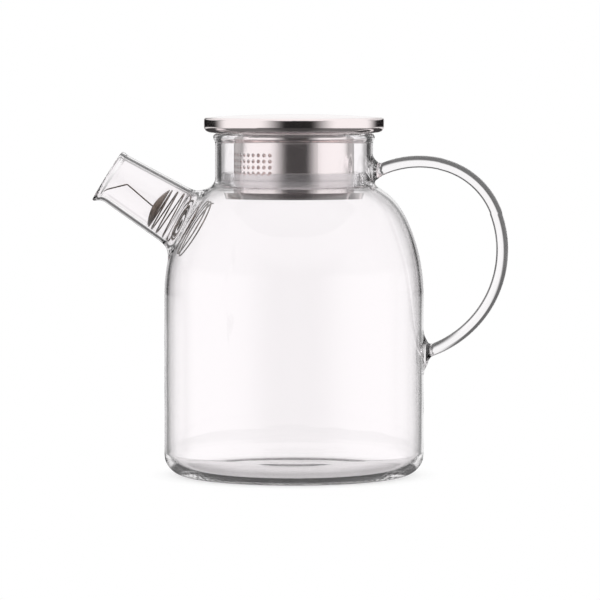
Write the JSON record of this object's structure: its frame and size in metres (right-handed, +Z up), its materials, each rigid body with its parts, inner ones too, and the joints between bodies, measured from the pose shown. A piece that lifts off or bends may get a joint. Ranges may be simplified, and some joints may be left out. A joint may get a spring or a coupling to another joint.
{
  "type": "glass teapot",
  "caption": "Clear glass teapot with a straight tapered spout, a bent rod handle, and a steel push-in lid with a perforated filter sleeve; a wound-wire strainer sits in the spout.",
  "frame": {"origin": "centre of the flat base, on the axis of the pot", "axes": "+Z up along the axis of the pot, -X towards the pouring lip, +X towards the handle"},
  "size_m": [0.2077, 0.13, 0.1802],
  "materials": {
    "clear_glass": "clear polished borosilicate glass",
    "lid_steel": "bright polished stainless steel",
    "sleeve_steel": "satin stainless steel",
    "silicone": "translucent milky silicone",
    "wire_steel": "bright drawn stainless wire"
  },
  "bodies": {
    "pot": {"glass_body": "clear_glass", "glass_spout": "clear_glass", "glass_handle": "clear_glass"},
    "seal": {"silicone_seal": "silicone"},
    "lid": {"lid_cap": "lid_steel", "lid_pan": "lid_steel", "filter_sleeve": "sleeve_steel"},
    "strainer": {"spout_strainer": "wire_steel"}
  },
  "joints": [
    {"name": "lid_lift", "type": "slide", "parent": "pot", "child": "seal", "axis": [0, 0, 1], "range_m": [0, 0.08]},
    {"name": "lid_turn", "type": "hinge", "parent": "seal", "child": "lid", "pos_m": [0, 0, 0.1475], "axis": [0, 0, 1], "continuous": true},
    {"name": "strainer_slide", "type": "slide", "parent": "pot", "child": "strainer", "axis": [0.8499, 0, -0.527], "range_m": [0, 0.06]}
  ]
}
